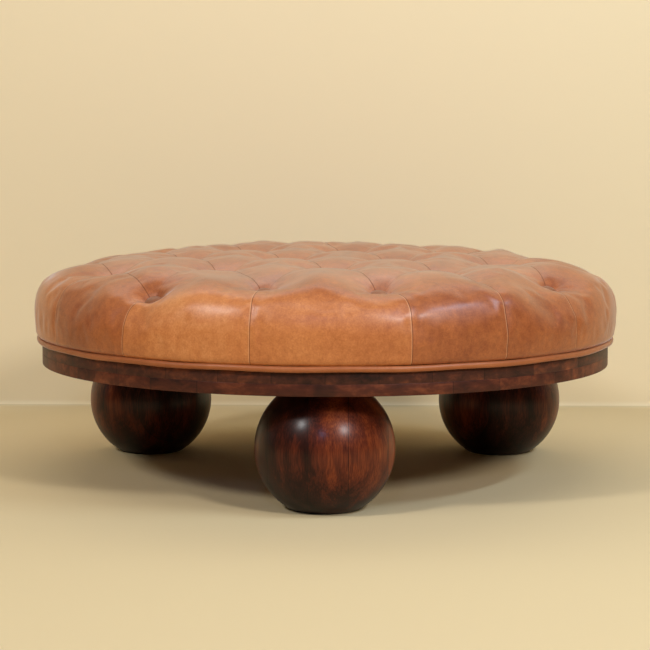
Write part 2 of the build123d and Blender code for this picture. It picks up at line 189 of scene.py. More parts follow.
# Bearing of each ball from the front, and the turn of its planks
ball_feet = {"front": (0, 0.0), "rear_right": (120, 0.7), "rear_left": (240, 2.1)}
for name, (angle, plank_turn) in ball_feet.items():
    across = feet_circle * math.sin(math.radians(angle))
    deep = -feet_circle * math.cos(math.radians(angle))
    lean = math.asin(ball_height / 2 / ball_radius)
    bm = bmesh.new()
    profile = [bm.verts.new((0, 0, 0))]
    for step in range(ball_profile_steps + 1):
        around = -lean + 2 * lean * step / ball_profile_steps
        reach = ball_radius * math.cos(around)
        profile.append(bm.verts.new((reach, 0, ball_height / 2 + ball_radius * math.sin(around))))
    profile.append(bm.verts.new((0, 0, ball_height)))
    edges = [bm.edges.new(pair) for pair in zip(profile, profile[1:])]
    bmesh.ops.spin(
        bm, geom=profile + edges, cent=(0, 0, 0), axis=(0, 0, 1),
        angle=math.tau, steps=ball_turns, use_merge=True,
    )
    bmesh.ops.remove_doubles(bm, verts=bm.verts, dist=merge_distance)
    sharp = [edge for edge in bm.edges if edge.calc_face_angle(0) > flat_edge_angle]
    bmesh.ops.bevel(
        bm, geom=sharp, offset=ball_edge_break, affect="EDGES", segments=3, profile=0.5, material=-1
    )
    bmesh.ops.translate(bm, verts=bm.verts, vec=(across, deep, 0))
    stain = Finish(f"stained_ball_{name}", {"Specular IOR Level": 0.1, "Coat Roughness": 0.25})
    middle = (across, deep, 0)
    turned = stain.place(centre=middle, turn=plank_turn)
    plank_place = stain.part(turned, "X") / plank_width + plank_shift
    plank = plank_place.whole()
    plank_edge = abs(plank_place.fraction() - 0.5)
    joint = stain.rise(plank_edge, 0.485, 0.497)
    tone = stain.chance(plank + angle) * 0.5 + stain.rise(plank, 0.0, 1.0) * 0.35 + 0.1
    long_grain = stain.noise(stain.place((34, 34, 3.2), middle, plank_turn), 5.0, 0.55, 0.6)
    fine_grain = stain.noise(stain.place((420, 420, 24), middle, plank_turn), 3.0, 0.6)
    cloud = stain.noise(stain.place((9, 9, 5), middle, plank_turn), 3.0, 0.5, 0.8)
    # Painted shade: the stain is darkened towards the bottom of each ball, for the shade near the
    # floor
    low = 1 - stain.rise(stain.part(turned, "Z"), 0.01, 0.085)
    depth = tone * 0.4 + long_grain * 1.0 + cloud * 1.2 + fine_grain * 0.7 - 1.17 - low * 0.4
    colour = stain.ramp(
        depth,
        [
            (0.0, (0.009, 0.0023, 0.0017)),
            (0.3, (0.0333, 0.0067, 0.0033)),
            (0.52, (0.0998, 0.0173, 0.0061)),
            (0.76, (0.2112, 0.0422, 0.0105)),
            (1.0, (0.3456, 0.087, 0.0186)),
        ],
    )
    colour = stain.mix(joint * 0.7, colour, glue_line_colour)
    stain.feed(
        colour=colour,
        roughness=0.34 + fine_grain * 0.16,
        coat=0.23 + long_grain * 0.18,
        relief=fine_grain * 0.00006 - joint * 0.00012,
    )
    hand_over(f"ball_foot_{name}_turned", bm, stain, "stained_ball_wood", f"ball_foot_{name}")


# Hanger bolts and threaded inserts join each ball to the base. The bolts are zinc-plated steel
# and the inserts are brass, and all of them are hidden in the wood.
def metal_finish(name, colour, roughness):
    """Metal with a fine speckle that dulls it in places."""
    metal = Finish(name, {"Metallic": 1.0})
    speckle = metal.noise(metal.place((900, 900, 900)), 2.0)
    dull = (*[channel * 0.86 for channel in colour], 1)
    metal.feed(colour=metal.mix(speckle, dull, (*colour, 1)), roughness=roughness + speckle * 0.12)
    return metal


def dress(finish, *names):
    """Gives a finish to CAD nodes that are carried over as they are."""
    for name in names:
        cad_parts[name].data.materials.clear()
        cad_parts[name].data.materials.append(finish.material)


zinc = metal_finish("zinc_plate", (0.62, 0.63, 0.66), 0.3)
dress(zinc, "foot_hanger_bolts", "deck_screws", "deck_screw_washers")
dress(zinc, "cover_staples", "twine_washers")
dress(metal_finish("insert_brass", (0.7, 0.5, 0.22), 0.32), "foot_threaded_inserts")

# The base is two round layers of glued hardwood boards, laid crosswise and stained like the balls.
# The lower layer's boards run from left to right, the wider boards of the upper one from front
# to back, so at the front their end grain takes the stain in darker and rusty patches.
base_radius = 0.5605
base_turns = 384
layer_edge_break = 0.0007
layer_thickness = 0.0213
layer_edge_angle = 1.0         # the edges of a layer turn by more than this
rim_sides = 8                  # only the two round faces have more sides than this
face_border = 0.012            # ring of faces inside each round face's edge
small_face_area = 0.0004       # faces under this are rounded or narrow, and are shaded smooth
for name, bottom, board_count, turn in (
    ("base_lower_layer", ball_height, 24, 0.0),
    ("base_upper_layer", ball_height + layer_thickness, 12, math.pi / 2),
):
    bm = bmesh.new()
    bmesh.ops.create_circle(bm, cap_ends=True, radius=base_radius, segments=base_turns)
    raised = bmesh.ops.extrude_face_region(bm, geom=list(bm.faces))["geom"]
    lifted = [item for item in raised if isinstance(item, bmesh.types.BMVert)]
    bmesh.ops.translate(bm, verts=lifted, vec=(0, 0, layer_thickness))
    bmesh.ops.translate(bm, verts=bm.verts, vec=(0, 0, bottom))
    bmesh.ops.recalc_face_normals(bm, faces=bm.faces)
    sharp = [edge for edge in bm.edges if edge.calc_face_angle(0) > layer_edge_angle]
    bmesh.ops.bevel(
        bm, geom=sharp, offset=layer_edge_break, affect="EDGES", segments=3, profile=0.5, material=-1
    )
    for round_face in [face for face in bm.faces if len(face.verts) > rim_sides]:
        bmesh.ops.inset_individual(bm, faces=[round_face], thickness=face_border)
    stain = Finish(f"{name}_stain", {"Specular IOR Level": 0.22, "Coat Roughness": 0.2})
    board_width = 2 * base_radius / board_count
    laid = stain.place(turn=turn)
    board_place = (stain.part(laid, "Y") + base_radius) / board_width
    board = board_place.whole()
    board_edge = abs(board_place.fraction() - 0.5)
    joint = stain.rise(board_edge, 0.488, 0.498)
    tone = stain.chance(board * 1.7 + board_count)
    grain = stain.noise(stain.place((4, 60, 60), turn=turn), 5.0, 0.6, 0.5)
    pores = stain.noise(stain.place((40, 700, 700), turn=turn), 2.0, 0.6)
    patch = stain.noise(stain.place((14, 14, 30)), 5.0, 0.65, 0.4)
    wear = stain.noise(stain.place((75, 75, 120)), 4.0, 0.65)
    if name == "base_lower_layer":
        stops = [
            (0.0, (0.0256, 0.0067, 0.0036)),
            (0.4, (0.0845, 0.0192, 0.0084)),
            (0.7, (0.1856, 0.0467, 0.0173)),
            (1.0, (0.3328, 0.105, 0.0384)),
        ]
    else:
        stops = [
            (0.0, (0.0179, 0.0061, 0.0038)),
            (0.42, (0.0704, 0.0192, 0.01)),
            (0.70, (0.16, 0.041, 0.016)),
            (1.0, (0.3456, 0.0998, 0.0333)),
        ]
    depth = tone * 0.3 + grain * 0.9 + patch * 1.3 + wear * 0.3 - 0.99
    colour = stain.ramp(depth, stops)
    rubbed = stain.rise(wear, 0.7, 0.78) * 0.5
    colour = stain.mix(rubbed, colour, (0.25, 0.105, 0.055, 1))
    colour = stain.mix(joint * 0.6, colour, glue_line_colour)
    stain.feed(
        colour=colour,
        roughness=0.42 + pores * 0.2,
        coat=0.04 + grain * 0.08,
        relief=pores * 0.00008 - joint * 0.00015,
    )
    layer = hand_over(f"{name}_stained", bm, stain, "stained_board_wood", name)
    for polygon in layer.data.polygons:
        polygon.use_smooth = polygon.area < small_face_area

# The deck is a disc of birch plywood. The cushion is built on it, its twines pass through it, and
# screws from below hold it to the base.
plywood = Finish("birch_plywood", {"Specular IOR Level": 0.3})
veneer = plywood.noise(plywood.place((5, 60, 5)), 4.0, 0.6, 0.4)
plywood.feed(
    colour=plywood.ramp(veneer, [(0.2, (0.5, 0.34, 0.19)), (0.8, (0.68, 0.5, 0.31))]),
    roughness=0.55 + veneer * 0.2,
)
dress(plywood, "deck_board")

# The hidden cords are twisted cotton: the filler inside the welt, and the twines that hold the
# buttons down from under the deck.
cotton = Finish("twisted_cotton", {"Specular IOR Level": 0.2, "Sheen Weight": 0.3})
strands = cotton.noise(cotton.place((900, 900, 900)), 2.0)
cotton.feed(
    colour=cotton.mix(strands, (0.6, 0.54, 0.42, 1), (0.8, 0.75, 0.64, 1)),
    roughness=0.8 + strands * 0.1,
)
dress(cotton, "welt_cord", "tufting_twines")

# Each button has a core of moulded nylon, with a shank that its twine is tied to. The leather
# cap hides it.
nylon = Finish("moulded_nylon", {"Specular IOR Level": 0.4})
flow = nylon.noise(nylon.place((300, 300, 300)), 2.0)
nylon.feed(
    colour=nylon.mix(flow, (0.05, 0.05, 0.05, 1), (0.08, 0.08, 0.08, 1)),
    roughness=0.45 + flow * 0.1,
)
dress(nylon, "button_cores")

# The leather cover is cut in panels, folded into pleats between the buttons and pulled down over
# the wadding. From each outer button a folded seam runs over the edge and down to the welt. The
# hide is a waxed tan one, and its panels differ in tone.
crown_height = 0.42884
flat_radius = 0.41063
crease_height = 0.2752
# From the flat crown outwards and down: radius and turn in degrees of each arc, or None and the
# length of a straight run
arcs = ((0.275, 28.0), (0.052, 37.0), (0.120, 25.0), (None, 0.02047), (0.180, 7.0), (0.005, 83.0))
tiny = 1e-6                    # keeps divisions clear of nought
tuft_pitch = (0.208, 0.222)
tuft_shift = 0.032
tuft_turn = math.radians(-5.0)
tuft_reach = 0.530
tuft_depth = 0.038
seat_radius = 0.0155           # where the hide lies flat under a button


def outline(run):
    """Radius, height and lean from upright of the cushion's outline, by the run along it."""
    radius = np.minimum(run, flat_radius)
    height = np.full_like(run, crown_height)
    lean = np.zeros_like(run)
    place, at, angle = flat_radius, (flat_radius, crown_height), 0.0
    for arc_radius, amount in arcs:
        if arc_radius is None:
            length, turned = amount, 0.0
        else:
            turned = math.radians(amount)
            length = arc_radius * turned
        past = np.clip(run - place, 0, length)
        inside = run > place
        if arc_radius is None:
            new_radius = at[0] + past * math.cos(angle)
            new_height = at[1] - past * math.sin(angle)
            new_lean = np.full_like(past, angle)
        else:
            new_lean = angle + past / arc_radius
            new_radius = at[0] + arc_radius * (np.sin(new_lean) - math.sin(angle))
            new_height = at[1] + arc_radius * (np.cos(new_lean) - math.cos(angle))
        radius = np.where(inside, new_radius, radius)
        height = np.where(inside, new_height, height)
        lean = np.where(inside, new_lean, lean)
        if arc_radius is None:
            at = (at[0] + length * math.cos(angle), at[1] - length * math.sin(angle))
        else:
            turned_angle = angle + turned
            at = (
                at[0] + arc_radius * (math.sin(turned_angle) - math.sin(angle)),
                at[1] + arc_radius * (math.cos(turned_angle) - math.cos(angle)),
            )
        place += length
        angle += turned
    return radius, height, lean, place, at


outline_run = outline(np.zeros(1))[3]

# Buttons on the staggered lattice, in the plane of the unrolled cover, by row and column
rows_each_side = 2
columns_each_side = 3
stagger_shares = (0.5, 0.0)    # sideways step of even and odd rows, as shares of the pitch
buttons = {}
for row in range(-rows_each_side, rows_each_side + 1):
    for column in range(-columns_each_side, columns_each_side):
        across = tuft_shift + tuft_pitch[0] * (column + stagger_shares[row % 2])
        deep = tuft_pitch[1] * row
        if math.hypot(across, deep) > tuft_reach:
            continue
        place = Matrix.Rotation(tuft_turn, 2) @ Vector((across, deep))
        beyond = max(place.length - flat_radius, 0)
        run = min(place.length, flat_radius) + arcs[0][0] * math.asin(beyond / arcs[0][0])
        buttons[(row, column)] = place * run / place.length

# Pleats: straight from button to button, and from the outer buttons in a curve over the edge
pleats = []
for (row, column), start in buttons.items():
    for lean in (0, 1):
        end = buttons.get((row + 1, column + lean - row % 2))
        if end is not None:
            pleats.append((start, end, lean))
# Row and column of a button, and the angle where its seam comes down the side, counted from the
# front towards the right
edge_pleats = (
    (-2, -2, -39.0), (-2, -1, -13.2), (-2, 0, 15.2), (-1, 1, 34.1), (-1, 2, 53.3), (0, 1, 80.0),
    (1, 2, 112.0), (1, 1, 137.0), (2, 0, 158.0), (2, -1, 184.0), (2, -2, 207.0), (1, -2, 235.0),
    (0, -3, 275.0), (-1, -2, 299.0),
)
edge_steps = 12
edge_run = 0.600               # past this run a seam goes straight down
seam_overrun = 0.02            # how far a seam's line goes on past the crease
seams = []
for row, column, angle in edge_pleats:
    start = buttons[(row, column)]
    start_angle = math.degrees(math.atan2(start.x, -start.y))
    swing = (angle - start_angle + 180) % 360 - 180
    path = [start]
    for step in range(1, edge_steps + 1):
        share = step / edge_steps
        run = start.length + (edge_run - start.length) * share
        turned = math.radians(start_angle + swing * share * (2 - share))
        path.append(Vector((run * math.sin(turned), -run * math.cos(turned))))
    path.append(path[-1] * (outline_run + seam_overrun) / path[-1].length)
    seams.append(path)


def from_line(points, start, end):
    """Distance of points from a line between two places, signed by side, and share along it."""
    along = np.array(end - start)
    offset = points - np.array(start)
    share = np.clip(offset @ along / (along @ along), 0, 1)
    away = offset - share[:, None] * along
    side = np.sign(along[0] * offset[:, 1] - along[1] * offset[:, 0])
    return np.hypot(away[:, 0], away[:, 1]) * np.where(side == 0, 1, side), share


def smooth(value):
    """Goes smoothly from nought to one as the value does."""
    value = np.clip(value, 0, 1)
    return value * value * (3 - 2 * value)


# Pillows that sit lower than the rest: place, how much lower, and how far round it is felt
dents = (
    (-0.19, -0.36, 0.015, 0.13), (0.01, -0.36, 0.0015, 0.12), (0.22, -0.39, 0.0055, 0.12),
    (-0.42, -0.32, 0.012, 0.13), (0.395, -0.36, 0.018, 0.12), (0.31, -0.17, 0.013, 0.14),
    (-0.30, -0.20, 0.006, 0.12), (0.42, 0.06, 0.010, 0.17), (0.54, 0.16, 0.010, 0.18),
    (-0.44, -0.06, 0.006, 0.14), (0.38, 0.27, 0.006, 0.10),
)

# How much higher than the rest the outer pillows at the sides and back sit, by angle
outer_levels = (
    0.0, -0.003, -0.006, -0.012, 0.002, 0.002, 0.003, 0.001, -0.009, 0.0041, -0.0067, -0.0003,
    0.0033, 0.0006, -0.0035, 0.0084, 0.0074, 0.0012, -0.0035, -0.0008, -0.0082, 0.0, 0.0078, 0.0,
    -0.0075, -0.010, -0.007, -0.004, -0.002, -0.001, 0.0,
)
first_level_angle, last_level_angle = 67.5, 292.5
level_angles = np.linspace(first_level_angle, last_level_angle, len(outer_levels))
level_start, level_end, level_fade = 0.30, 0.60, 0.08

# A tuft is a funnel that narrows towards the back of the table, with a steep hug round its button
back_start, back_fade = 0.28, 0.14
funnel_reach = 0.118
funnel_narrowing = 0.045
narrowing_fade = 0.03
funnel_share = 0.86            # of the tuft's depth, and the hug takes the rest
hug_share = 0.14
hug_reach = 0.010
funnel_steepness = 1.9

# A pleat is a valley that is deepest at its buttons. A seam's valley fades out over the edge and
# leaves a narrow groove down the side.
pleat_depth, pleat_depth_at_button = 0.0055, 0.016
pleat_width, pleat_narrowing = 0.080, 0.01
pleat_steepness = 1.7
seam_fade_start, seam_fade = 0.47, 0.11
seam_valley_depth, seam_valley_width = 0.016, 0.075
seam_back_loss = 0.85          # share of a seam's valley that is missing at the back
seam_groove_depth, seam_groove_width = 0.0010, 0.010
seam_steepness = 1.9
lip_start, lip_fade = 0.008, 0.03

# The front half of the top sags a little from use, and the back is fuller
sag_depth, sag_start, sag_fade = 0.0015, 0.05, 0.40
sag_rim, sag_rim_fade = 0.56, 0.10
back_fullness, back_rim, back_rim_fade = 0.0035, 0.54, 0.08


def tuft_drop(points):
    """How far the cover is pulled in below the plain outline, at points of the unrolled cover."""
    run = np.hypot(*points.T)
    angle = np.degrees(np.arctan2(points[:, 0], -points[:, 1])) % 360
    level = np.interp(angle, level_angles, outer_levels)
    level = level * smooth((run - level_start) / level_fade) * smooth((level_end - run) / level_fade)
    back = smooth((points[:, 1] - back_start) / back_fade)
    funnel = np.zeros(len(points))
    for place in buttons.values():
        offset = points - np.array(place)
        outward = offset @ (np.array(place) / max(place.length, tiny))
        reach = funnel_reach - funnel_narrowing * back * smooth(outward / narrowing_fade)
        share = np.clip((np.hypot(*offset.T) - seat_radius) / reach, 0, 1)
        hug = hug_share * (1 - smooth(share * reach / hug_reach))
        cone = funnel_share * (1 - share) ** funnel_steepness
        funnel = np.maximum(funnel, tuft_depth * (cone + hug))
    valley = np.zeros(len(points))
    for start, end, lean in pleats:
        away, share = from_line(points, start, end)
        near_end = np.abs(2 * share - 1)
        depth = pleat_depth + pleat_depth_at_button * near_end**2.5
        width = pleat_width - pleat_narrowing * near_end**3
        side = np.clip(1 - np.abs(away) / width, 0, 1)
        valley = np.maximum(valley, depth * side**pleat_steepness)
    fading = np.clip((run - seam_fade_start) / seam_fade, 0, 1)
    for path in seams:
        for start, end in zip(path, path[1:]):
            away, share = from_line(points, start, end)
            depth = seam_valley_depth * (1 - fading) ** pleat_steepness * (1 - seam_back_loss * back)
            depth = depth + seam_groove_depth
            width = seam_valley_width * (1 - fading) + seam_groove_width
            side = np.clip(1 - np.abs(away) / width, 0, 1)
            valley = np.maximum(valley, depth * side**seam_steepness)
    lip = np.clip((outline_run - lip_start - run) / lip_fade, 0, 1)
    sag = sag_depth * smooth((sag_start - points[:, 1]) / sag_fade)
    sag = sag * smooth((sag_rim - run) / sag_rim_fade)
    for across, deep, depth, reach in dents:
        away = np.hypot(points[:, 0] - across, points[:, 1] - deep)
        sag = sag + depth * smooth(1 - away / reach)
    full = back_fullness * back * smooth((back_rim - run) / back_rim_fade)
    drop = (funnel**3 + (valley * lip) ** 3) ** (1 / 3)
    return drop + (sag - full - level) * np.clip(1 - drop / tuft_depth, 0, 1)


def cushion_place(points, drop):
    """Places in space of points of the unrolled cover, pulled in by drop."""
    run = np.hypot(*points.T)
    radius, height, lean, _, _ = outline(run)
    toward = points / np.maximum(run, tiny)[:, None]
    reach = radius - drop * np.sin(lean)
    return np.column_stack((toward * reach[:, None], height - drop * np.cos(lean)))


square_size = 0.88             # of the middle patch, so that its corners stay inside its circle
rounding_rings = 12            # rings over which the patch's square turns into the circle


def unrolled_disc(squares, ring_count, patch):
    """A flat mesh in the plane of the unrolled cover: a rounded square of quads inside rings."""
    bm = bmesh.new()
    bmesh.ops.create_grid(bm, x_segments=squares, y_segments=squares, size=1.0)
    unit = bm.verts.layers.float_vector.new("unit")
    for vert in bm.verts:
        vert[unit] = vert.co
    rim = [edge for edge in bm.edges if edge.is_boundary]
    rings = {vert: 0 for vert in bm.verts}
    for ring in range(1, ring_count + 1):
        grown = bmesh.ops.extrude_edge_only(bm, edges=rim)["geom"]
        for item in grown:
            if isinstance(item, bmesh.types.BMVert):
                rings[item] = ring
        rim = [item for item in grown if isinstance(item, bmesh.types.BMEdge) and item.is_boundary]
    for vert, ring in rings.items():
        u, v, _ = vert[unit]
        most = max(abs(u), abs(v), tiny)
        if abs(u) >= abs(v):
            turn = (v / u if u else 0) * math.pi / 4
            side = math.copysign(1, u) if u else 1
            circle = Vector((side * math.cos(turn), side * math.sin(turn)))
        else:
            turn = u / v * math.pi / 4
            side = math.copysign(1, v)
            circle = Vector((side * math.sin(turn), side * math.cos(turn)))
        square = Vector((u, v)) / most * square_size
        if ring:
            share = min(ring / rounding_rings, 1)
            roundness = 0.5 + 0.5 * share * share * (3 - 2 * share)
            run = patch + (outline_run - patch) * ring / ring_count
        else:
            roundness = 0.5 * most * most
            run = patch * most
        place = (square * (1 - roundness) + circle * roundness) * run
        vert.co = (place.x, place.y, 0)
    return bm


def mesh_points(mesh):
    """Places of a mesh's vertices, one row each."""
    places = np.empty(len(mesh.vertices) * 3)
    mesh.vertices.foreach_get("co", places)
    return places.reshape(-1, 3)


def set_points(mesh, places):
    mesh.vertices.foreach_set("co", places.ravel())
    mesh.update()


bm = unrolled_disc(squares=104, ring_count=33, patch=0.40)
cover_mesh = bpy.data.meshes.new("leather_cover_hide")
bmesh.ops.recalc_face_normals(bm, faces=bm.faces)
if sum(face.normal.z for face in bm.faces) < 0:
    bmesh.ops.reverse_faces(bm, faces=bm.faces)
bm.to_mesh(cover_mesh)
bm.free()
flat = mesh_points(cover_mesh)[:, :2].copy()
flat_map = cover_mesh.attributes.new("flat", "FLOAT_VECTOR", "POINT")
flat_map.data.foreach_set("vector", np.column_stack((flat, np.zeros(len(flat)))).ravel())
set_points(cover_mesh, cushion_place(flat, tuft_drop(flat)))
cover = bpy.data.objects.new("leather_cover_hide", cover_mesh)
bpy.context.scene.collection.objects.link(cover)

# The filling presses the hide up as cloth, held at the buttons and the crease, a little by the
# pleats. No point moves further than the cap.
cloth_frames = 20
cloth_cap = 0.003
free_hold = 0.02
pleat_hold = 0.35
pleat_hold_reach = 0.012
button_hold_border = 0.003
crease_hold_run = 0.02
far_away = 9.0
held = cover.vertex_groups.new(name="held")
run = np.hypot(*flat.T)
near_button = np.full(len(flat), far_away)
for place in buttons.values():
    near_button = np.minimum(near_button, np.hypot(*(flat - np.array(place)).T))
near_pleat = np.full(len(flat), far_away)
folds = [(start, end) for start, end, lean in pleats]
folds += [pair for path in seams for pair in zip(path, path[1:])]
for start, end in folds:
    near_pleat = np.minimum(near_pleat, np.abs(from_line(flat, start, end)[0]))
hold = free_hold + pleat_hold * smooth(1 - near_pleat / pleat_hold_reach)
hold = np.where(near_button < seat_radius + button_hold_border, 1.0, hold)
hold = np.where(run > outline_run - crease_hold_run, 1.0, hold)
for number, weight in enumerate(hold):
    held.add([number], float(weight), "REPLACE")
before = mesh_points(cover_mesh)
cloth = cover.modifiers.new("filling", "CLOTH")
cloth.settings.quality = 6
cloth.settings.mass = 0.2
cloth.settings.tension_stiffness = 25
cloth.settings.compression_stiffness = 25
cloth.settings.shear_stiffness = 15
cloth.settings.bending_stiffness = 0.25
cloth.settings.shrink_min = -0.010
cloth.settings.use_pressure = True
cloth.settings.uniform_pressure_force = 1.0
cloth.settings.vertex_group_mass = "held"
cloth.settings.pin_stiffness = 2.0
cloth.settings.effector_weights.gravity = 0.0
cloth.point_cache.frame_start = 1
cloth.point_cache.frame_end = cloth_frames
for frame_number in range(1, cloth_frames + 1):
    bpy.context.scene.frame_set(frame_number)
simulated = cover.evaluated_get(bpy.context.evaluated_depsgraph_get())
pressed = bpy.data.meshes.new_from_object(simulated)
moved = mesh_points(pressed) - before
cover.modifiers.clear()
cover.vertex_groups.clear()
bpy.data.meshes.remove(pressed)
bpy.context.scene.frame_set(1)
distance = np.linalg.norm(moved, axis=1)
moved *= (np.minimum(distance, cloth_cap) / np.maximum(distance, 1e-9))[:, None]
set_points(cover_mesh, before + moved)
wadding_source = cover_mesh.copy()

finer = cover.modifiers.new("finer", "SUBSURF")
finer.levels = finer.render_levels = 1
refined = cover.evaluated_get(bpy.context.evaluated_depsgraph_get())
shaped = bpy.data.meshes.new_from_object(refined)
cover.modifiers.clear()
cover.data = shaped
shaped.name = "leather_cover_hide"

# Each face's corners get the distance from its nearest seam or pleat, and the tones beside it
flat = np.empty(len(shaped.vertices) * 3)
shaped.attributes["flat"].data.foreach_get("vector", flat)
flat = flat.reshape(-1, 3)[:, :2]
loop_vertex = np.empty(len(shaped.loops), int)
shaped.loops.foreach_get("vertex_index", loop_vertex)
loop_face = np.repeat(np.arange(len(shaped.polygons)), [p.loop_total for p in shaped.polygons])
corner = flat[loop_vertex]
face_middle = np.zeros((len(shaped.polygons), 2))
np.add.at(face_middle, loop_face, corner)
face_middle /= np.bincount(loop_face)[:, None]


def nearest_line(lines):
    """For each face corner, the signed distance from the line nearest its face and the share
    along it, and for each face the line's number."""
    best = np.full(len(face_middle), far_away)
    chosen = np.zeros(len(face_middle), int)
    for number, (start, end) in enumerate(lines):
        away = np.abs(from_line(face_middle, start, end)[0])
        closer = away < best
        best[closer] = away[closer]
        chosen[closer] = number
    signed = np.zeros(len(corner))
    share = np.zeros(len(corner))
    of_corner = chosen[loop_face]
    for number, (start, end) in enumerate(lines):
        own = of_corner == number
        if own.any():
            along = np.array(end - start)
            offset = corner[own] - np.array(start)
            length = math.hypot(*along)
            signed[own] = (along[0] * offset[:, 1] - along[1] * offset[:, 0]) / length
            share[own] = offset @ along / length
    return signed, share, chosen


def write_map(name, first, second):
    """Keeps two numbers for each face corner in a UV map."""
    layer = shaped.uv_layers.new(name=name)
    layer.data.foreach_set("uv", np.column_stack((first, second)).ravel())


seam_lines = [pair for path in seams for pair in zip(path, path[1:])]
seam_of_line = [number for number, path in enumerate(seams) for _ in path[1:]]
signed, share, chosen = nearest_line(seam_lines)
write_map("seam", signed, np.hypot(*corner.T))
seam_number = np.array(seam_of_line)[chosen][loop_face]

# Tones of the panels, from 0, dark, to 1, light. Each panel lies before the seam of its number,
# counted from the front towards the right, and its tone drifts towards its neighbours' at its seams.
panel_tones = (0.24, 1.04, 0.78, 0.34, 0.26, 0.44, 0.6, 0.5, 0.66, 0.45, 0.6, 0.5, 0.7, 0.72)
own_tone_share, drift_share = 0.4, 0.6
left = np.roll(panel_tones, -1)
right = np.array(panel_tones)
seam_angles = np.array([math.degrees(math.atan2(path[-1].x, -path[-1].y)) for path in seams])
panel_middles = seam_angles - (seam_angles - np.roll(seam_angles, 1)) % 360 / 2
corner_angles = np.degrees(np.arctan2(corner[:, 0], -corner[:, 1]))
drift = np.interp(corner_angles, panel_middles, panel_tones, period=360)
drift = drift * drift_share
write_map(
    "tones",
    left[seam_number] * own_tone_share + drift,
    right[seam_number] * own_tone_share + drift,
)
from_seam_start = np.where((chosen % (edge_steps + 1) == 0)[loop_face], share, 1.0)
signed, share, chosen = nearest_line([(start, end) for start, end, _ in pleats])
slant = np.array([lean for _, _, lean in pleats])[chosen][loop_face]
pleat_length = (buttons[(0, 0)] - buttons[(1, 0)]).length
write_map("pleat", signed, share / pleat_length)
write_map("slant", slant, from_seam_start)

# Round each button: distance, and turn about it, set apart from button to button
turn_step = 7.0
best = np.full(len(face_middle), far_away)
chosen = np.zeros(len(face_middle), int)
for number, place in enumerate(buttons.values()):
    away = np.hypot(*(face_middle - np.array(place)).T)
    chosen[away < best] = number
    best = np.minimum(best, away)
centres = np.array([list(place) for place in buttons.values()])[chosen]
from_centre = corner - centres[loop_face]
face_turn = np.arctan2(*(face_middle - centres).T[::-1])[loop_face]
corner_turn = np.arctan2(from_centre[:, 1], from_centre[:, 0])
corner_turn = face_turn + (corner_turn - face_turn + np.pi) % (2 * np.pi) - np.pi
write_map("tuft", np.hypot(*from_centre.T), corner_turn + chosen[loop_face] * turn_step)


def leather(name):
    """Waxed hide: soft blotches of tone, a fine pebbled grain and a broad soft gloss."""
    hide = Finish(
        name,
        {
            "Specular IOR Level": 0.25,
            "Sheen Weight": 0.36,
            "Sheen Roughness": 0.24,
            "Sheen Tint": (0.72, 0.87, 1.0, 1),
            "Coat Roughness": 0.36,
        },
    )
    hide.blotch = hide.noise(hide.place((11, 11, 14)), 5.0, 0.6, 0.3)
    hide.mottle = hide.noise(hide.place((95, 95, 95)), 4.0, 0.6)
    cells = {"Vector": hide.place((620, 620, 620)), "Smoothness": 0.8}
    hide.pebble = hide.node("ShaderNodeTexVoronoi", {"feature": "SMOOTH_F1"}, cells)
    return hide


hide = leather("tan_hide_cover")


def uv_pair(name):
    """The two numbers of one of the cover's maps."""
    source = hide.node("ShaderNodeUVMap", {"uv_map": name}, {})
    return hide.part(source, "X"), hide.part(source, "Y")


seam_away, seam_run = uv_pair("seam")
tone_left, tone_right = uv_pair("tones")
pleat_away, pleat_share = uv_pair("pleat")
slant, seam_share = uv_pair("slant")
tuft_away, tuft_angle = uv_pair("tuft")
left_side = hide.rise(seam_away, -0.0004, 0.0004)
panel = tone_right + left_side * (tone_left - tone_right)
on_band = hide.rise(seam_run, 0.50, 0.585)
shoulder = hide.rise(seam_run, 0.42, 0.50)
top_tone = 0.40
panel = top_tone + on_band * (panel - top_tone)
speckle = hide.noise(hide.place((330, 330, 330)), 3.0, 0.7)
streaks = hide.noise(hide.place((30, 30, 5)), 4.0, 0.6)
depth = panel * 0.6 + hide.blotch * 0.45 + hide.mottle * 0.42 + speckle * 0.45
depth = depth + streaks * 0.25 - 0.585
colour = hide.ramp(
    depth,
    [
        (0.0, (0.1472, 0.0307, 0.0064)),
        (0.3, (0.2816, 0.0666, 0.0134)),
        (0.55, (0.448, 0.128, 0.0282)),
        (0.78, (0.6016, 0.2074, 0.055)),
        (1.0, (0.7424, 0.3136, 0.1088)),
    ],
)
# A painted sheen pales the top. Seams and pleats are painted dark lines of shade, and a seam has a
# painted pale lip
# Painted sheen: the top is mixed a little towards pale grey, for the grey reflection it shows at
# grazing angles
painted_top_sheen = (1 - shoulder) * 0.1
colour = hide.mix(painted_top_sheen, colour, (0.62, 0.52, 0.46, 1))
on_seam = hide.rise(seam_share, 0.0, 0.012)
# Painted shade along the fold of each seam, and a painted highlight on the lip beside it
seam_crease_and_shade = (1 - hide.rise(abs(seam_away - 0.0006), 0.0003, 0.0011)) * on_seam
seam_lip_and_highlight = (1 - hide.rise(abs(seam_away + 0.0012), 0.0003, 0.0012)) * on_seam
# Painted shade along the fold of each pleat
pleat_crease_and_shade = (1 - hide.rise(abs(pleat_away), 0.0004, 0.0016)) * (1 - slant * 0.7)
pleat_crease_and_shade = pleat_crease_and_shade * hide.rise(pleat_share, 0.0, 0.02) * (1 - hide.rise(pleat_share, 0.98, 1.0))
# Painted shade in the seam and pleat folds, and a painted highlight on the seam lips
colour = hide.mix(seam_crease_and_shade * 0.7, colour, (0.115, 0.026, 0.007, 1))
colour = hide.mix(seam_lip_and_highlight * 0.4, colour, (0.8, 0.45, 0.24, 1))
colour = hide.mix(pleat_crease_and_shade * 0.7, colour, (0.13, 0.03, 0.008, 1))
